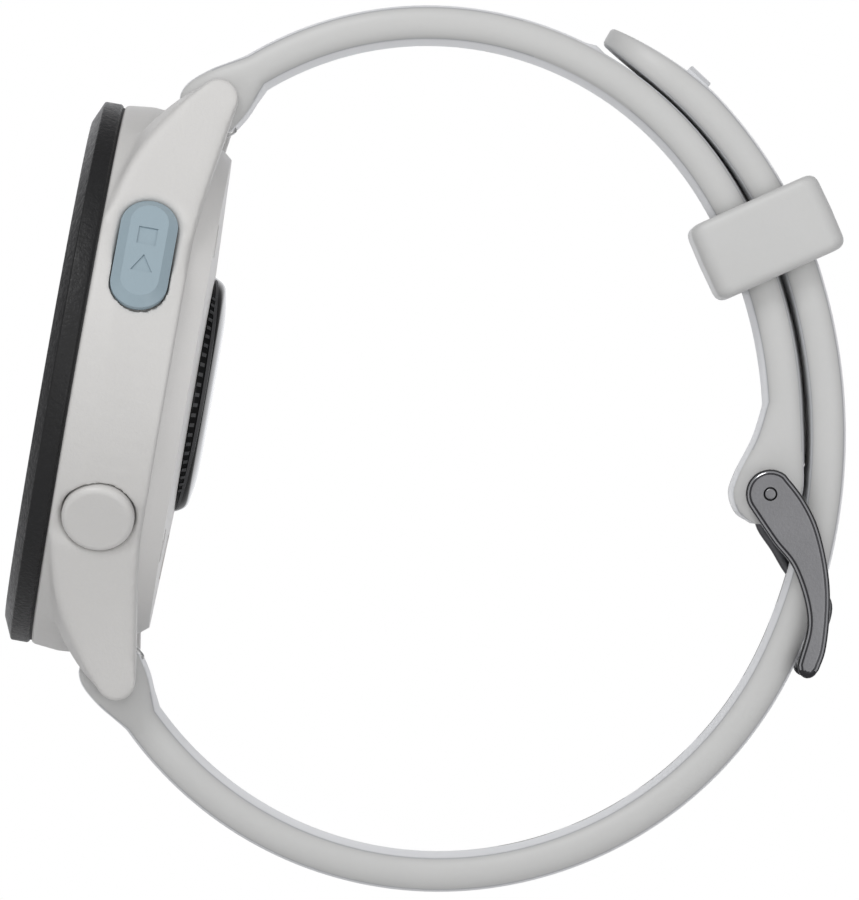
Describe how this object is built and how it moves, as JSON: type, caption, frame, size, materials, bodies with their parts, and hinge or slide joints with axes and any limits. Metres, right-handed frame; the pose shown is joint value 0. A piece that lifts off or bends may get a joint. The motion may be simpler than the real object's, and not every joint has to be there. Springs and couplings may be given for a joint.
{
  "type": "gps running watch",
  "caption": "Round GPS running watch with side buttons, a rear optical sensor and a buckled silicone band with keeper loop, pin buckle and quick-release spring bars.",
  "frame": {"origin": "centre of the flat rear face of the sensor window that rests on the wrist", "axes": "+Z towards 12 o'clock, +X towards 3 o'clock, +Y from the watch into the wrist"},
  "size_m": [0.0438, 0.0639, 0.0702],
  "materials": {
    "case_polymer": "fine satin grain, fibre-reinforced polymer",
    "bezel_black": "near-black fine satin",
    "lens_glass": "polished, chemically strengthened glass",
    "display_film": "clear gloss film",
    "display": "gloss black",
    "steel": "satin steel",
    "foam": "dense foam",
    "seal_rubber": "matt",
    "chassis_plastic": "matt",
    "copper": "bright copper alloy",
    "board": "solder-resist green",
    "flex": "amber film",
    "battery_pouch": "foil pouch",
    "rotor_metal": "dense sintered metal",
    "cover_plastic": "fine satin grain",
    "sensor_gloss": "polished black",
    "emitter": "clear resin",
    "contact_gold": "gold plate",
    "button_blue": "blue-grey satin",
    "button_grey": "warm light grey satin",
    "silicone": "matt light grey silicone",
    "buckle_metal": "satin gunmetal with polished edges",
    "tang_steel": "dark satin steel"
  },
  "bodies": {
    "watch": {"case": "case_polymer", "bezel": "bezel_black", "bezel_gasket": "seal_rubber", "lens": "lens_glass", "touch_panel": "display_film", "display_panel": "display", "display_backing": "steel", "display_pad": "foam", "inner_chassis": "chassis_plastic", "button_switches": "steel", "antenna_ring": "copper", "main_board": "board", "board_shields": "steel", "display_flex": "flex", "battery": "battery_pouch", "battery_tab": "copper", "motor_housing": "steel", "motor_lid": "steel", "beeper_disc": "copper", "back_cover": "cover_plastic", "cover_screws": "steel", "screw_inserts": "copper", "cover_gasket": "seal_rubber", "sensor_window": "sensor_gloss", "sensor_board": "board", "sensor_emitters": "emitter", "charging_contacts": "contact_gold", "button_seals": "seal_rubber", "start_spring": "steel", "back_spring": "steel", "light_spring": "steel", "up_spring": "steel", "down_spring": "steel"},
    "rotor": {"motor_rotor": "rotor_metal"},
    "start_key": {"start_button": "button_blue", "start_clip": "steel"},
    "back_key": {"back_button": "button_grey", "back_clip": "steel"},
    "light_key": {"light_button": "button_grey", "light_clip": "steel"},
    "up_key": {"up_button": "button_grey", "up_clip": "steel"},
    "down_key": {"down_button": "button_grey", "down_clip": "steel"},
    "buckle_side": {"buckle_strap": "silicone", "upper_bar_tube": "steel", "upper_bar_spring": "steel"},
    "hole_side": {"hole_strap": "silicone", "lower_bar_tube": "steel", "lower_bar_spring": "steel"},
    "upper_release": {"upper_bar_lever": "steel"},
    "lower_release": {"lower_bar_lever": "steel"},
    "keeper_loop": {"keeper": "silicone"},
    "buckle": {"buckle_frame": "buckle_metal", "buckle_pin": "buckle_metal"},
    "tang": {"buckle_tang": "tang_steel"}
  },
  "joints": [
    {"name": "motor_spin", "type": "hinge", "parent": "watch", "child": "rotor", "pos_m": [0.0139, -0.00578, 0], "axis": [0, 1, 0], "continuous": true},
    {"name": "start_press", "type": "slide", "parent": "watch", "child": "start_key", "axis": [-0.8829, 0, -0.4695], "range_m": [0, 0.0004], "stiffness_N_per_m": 600, "springref_m": -0.0005, "deforming": ["start_spring"]},
    {"name": "back_press", "type": "slide", "parent": "watch", "child": "back_key", "axis": [-0.8712, 0, 0.4909], "range_m": [0, 0.0004], "stiffness_N_per_m": 600, "springref_m": -0.0005, "deforming": ["back_spring"]},
    {"name": "light_press", "type": "slide", "parent": "watch", "child": "light_key", "axis": [0.8829, 0, -0.4695], "range_m": [0, 0.0004], "stiffness_N_per_m": 600, "springref_m": -0.0005, "deforming": ["light_spring"]},
    {"name": "up_press", "type": "slide", "parent": "watch", "child": "up_key", "axis": [1, 0, 0], "range_m": [0, 0.0004], "stiffness_N_per_m": 600, "springref_m": -0.0005, "deforming": ["up_spring"]},
    {"name": "down_press", "type": "slide", "parent": "watch", "child": "down_key", "axis": [0.8829, 0, 0.4695], "range_m": [0, 0.0004], "stiffness_N_per_m": 600, "springref_m": -0.0005, "deforming": ["down_spring"]},
    {"name": "buckle_strap_swing", "type": "hinge", "parent": "watch", "child": "buckle_side", "pos_m": [0, -0.00383, 0.0228], "axis": [1, 0, 0], "range_deg": [-0.5, 0.15], "stiffness_Nm_per_rad": 0.05},
    {"name": "hole_strap_swing", "type": "hinge", "parent": "watch", "child": "hole_side", "pos_m": [0, -0.00383, -0.0228], "axis": [1, 0, 0], "range_deg": [-0.185, 0.61]},
    {"name": "upper_release_slide", "type": "slide", "parent": "buckle_side", "child": "upper_release", "axis": [-1, 0, 0], "range_m": [0, 0.00125], "stiffness_N_per_m": 500, "springref_m": -0.001, "deforming": ["upper_bar_spring"]},
    {"name": "lower_release_slide", "type": "slide", "parent": "hole_side", "child": "lower_release", "axis": [-1, 0, 0], "range_m": [0, 0.00125], "stiffness_N_per_m": 500, "springref_m": -0.001, "deforming": ["lower_bar_spring"]},
    {"name": "keeper_slide", "type": "hinge", "parent": "buckle_side", "child": "keeper_loop", "pos_m": [0, 0.01412, 0.00189], "axis": [1, 0, 0], "range_deg": [-9, 8]},
    {"name": "buckle_swing", "type": "hinge", "parent": "buckle_side", "child": "buckle", "pos_m": [0, 0.04447, 0.00015], "axis": [1, 0, 0], "range_deg": [-0.5, 2.5]},
    {"name": "tang_swing", "type": "hinge", "parent": "buckle_side", "child": "tang", "pos_m": [0, 0.04447, 0.00015], "axis": [1, 0, 0], "range_deg": [-0.5, 2.5]}
  ],
  "couplings": [
    {"joint": "hole_strap_swing", "follows": "buckle_strap_swing", "ratio": -1.2},
    {"joint": "tang_swing", "follows": "buckle_swing", "ratio": 1}
  ]
}
